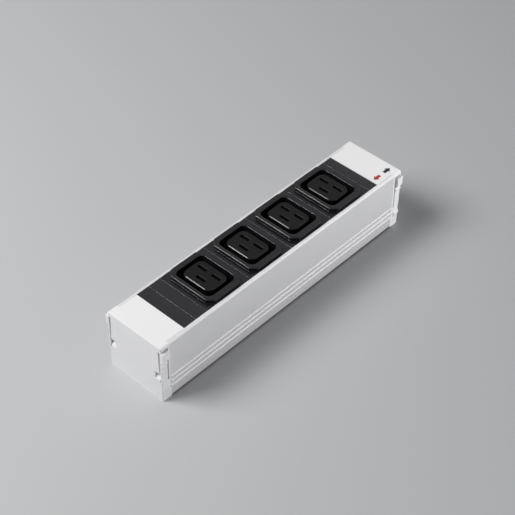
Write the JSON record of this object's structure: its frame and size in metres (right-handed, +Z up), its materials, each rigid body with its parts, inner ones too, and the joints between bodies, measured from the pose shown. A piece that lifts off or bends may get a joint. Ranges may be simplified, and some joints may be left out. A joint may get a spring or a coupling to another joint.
{
  "type": "busbar socket module",
  "caption": "Plug-on outlet module for a rack busbar: black sheet J appliance outlets in an aluminium profile between light grey end caps with latches.",
  "frame": {"origin": "on the surface that the module lies on, under the middle of its bounding box", "axes": "+X along the module, from the cap with the bare plate towards the cap with the two arrows; +Z up, the way the outlets face; the busbar plug faces -Z"},
  "size_m": [0.251, 0.0554, 0.0549],
  "materials": {
    "anodised_aluminium": "natural anodised, satin, with fine die lines along the profile",
    "light_grey_plastic": "light grey moulded plastic, fine spark-eroded texture",
    "black_plastic": "black glass-filled nylon, fine matt texture",
    "contact_brass": "bright stamped brass",
    "strip_copper": "tinned and bare copper strip",
    "natural_plastic": "natural extruded plastic",
    "zinc_plated_steel": "bright zinc plate"
  },
  "bodies": {
    "module": {"blank_far": "black_plastic", "blank_near_inner": "black_plastic", "blank_near_outer": "black_plastic", "cap_screws": "zinc_plated_steel", "earth_nut": "zinc_plated_steel", "earth_screw": "zinc_plated_steel", "earth_strap": "zinc_plated_steel", "far_end_cap": "light_grey_plastic", "housing_profile": "anodised_aluminium", "insulating_tray": "natural_plastic", "near_end_cap": "light_grey_plastic", "plug_blade_earth": "strip_copper", "plug_blade_live": "strip_copper", "plug_blade_neutral": "strip_copper", "plug_housing": "black_plastic", "plug_screws": "zinc_plated_steel", "socket_carrier_1": "black_plastic", "socket_carrier_2": "black_plastic", "socket_carrier_3": "black_plastic", "socket_carrier_4": "black_plastic", "socket_contacts_1": "contact_brass", "socket_contacts_2": "contact_brass", "socket_contacts_3": "contact_brass", "socket_contacts_4": "contact_brass", "socket_core_1": "black_plastic", "socket_core_2": "black_plastic", "socket_core_3": "black_plastic", "socket_core_4": "black_plastic", "socket_frame_1": "black_plastic", "socket_frame_2": "black_plastic", "socket_frame_3": "black_plastic", "socket_frame_4": "black_plastic", "strip_earth": "strip_copper", "strip_live": "strip_copper", "strip_neutral": "strip_copper"},
    "latch_near_right": {"latch_near_right": "light_grey_plastic"},
    "latch_near_left": {"latch_near_left": "light_grey_plastic"},
    "latch_far_right": {"latch_far_right": "light_grey_plastic"},
    "latch_far_left": {"latch_far_left": "light_grey_plastic"}
  },
  "joints": [
    {"name": "latch_near_right_bend", "type": "hinge", "parent": "module", "child": "latch_near_right", "pos_m": [-0.1227, -0.02455, 0.0183], "axis": [-1, 0, 0], "range_deg": [0, 3], "stiffness_Nm_per_rad": 0.25},
    {"name": "latch_near_left_bend", "type": "hinge", "parent": "module", "child": "latch_near_left", "pos_m": [-0.1227, 0.02455, 0.0183], "axis": [1, 0, 0], "range_deg": [0, 3], "stiffness_Nm_per_rad": 0.25},
    {"name": "latch_far_right_bend", "type": "hinge", "parent": "module", "child": "latch_far_right", "pos_m": [0.1227, -0.02455, 0.0183], "axis": [-1, 0, 0], "range_deg": [0, 3], "stiffness_Nm_per_rad": 0.25},
    {"name": "latch_far_left_bend", "type": "hinge", "parent": "module", "child": "latch_far_left", "pos_m": [0.1227, 0.02455, 0.0183], "axis": [1, 0, 0], "range_deg": [0, 3], "stiffness_Nm_per_rad": 0.25}
  ]
}
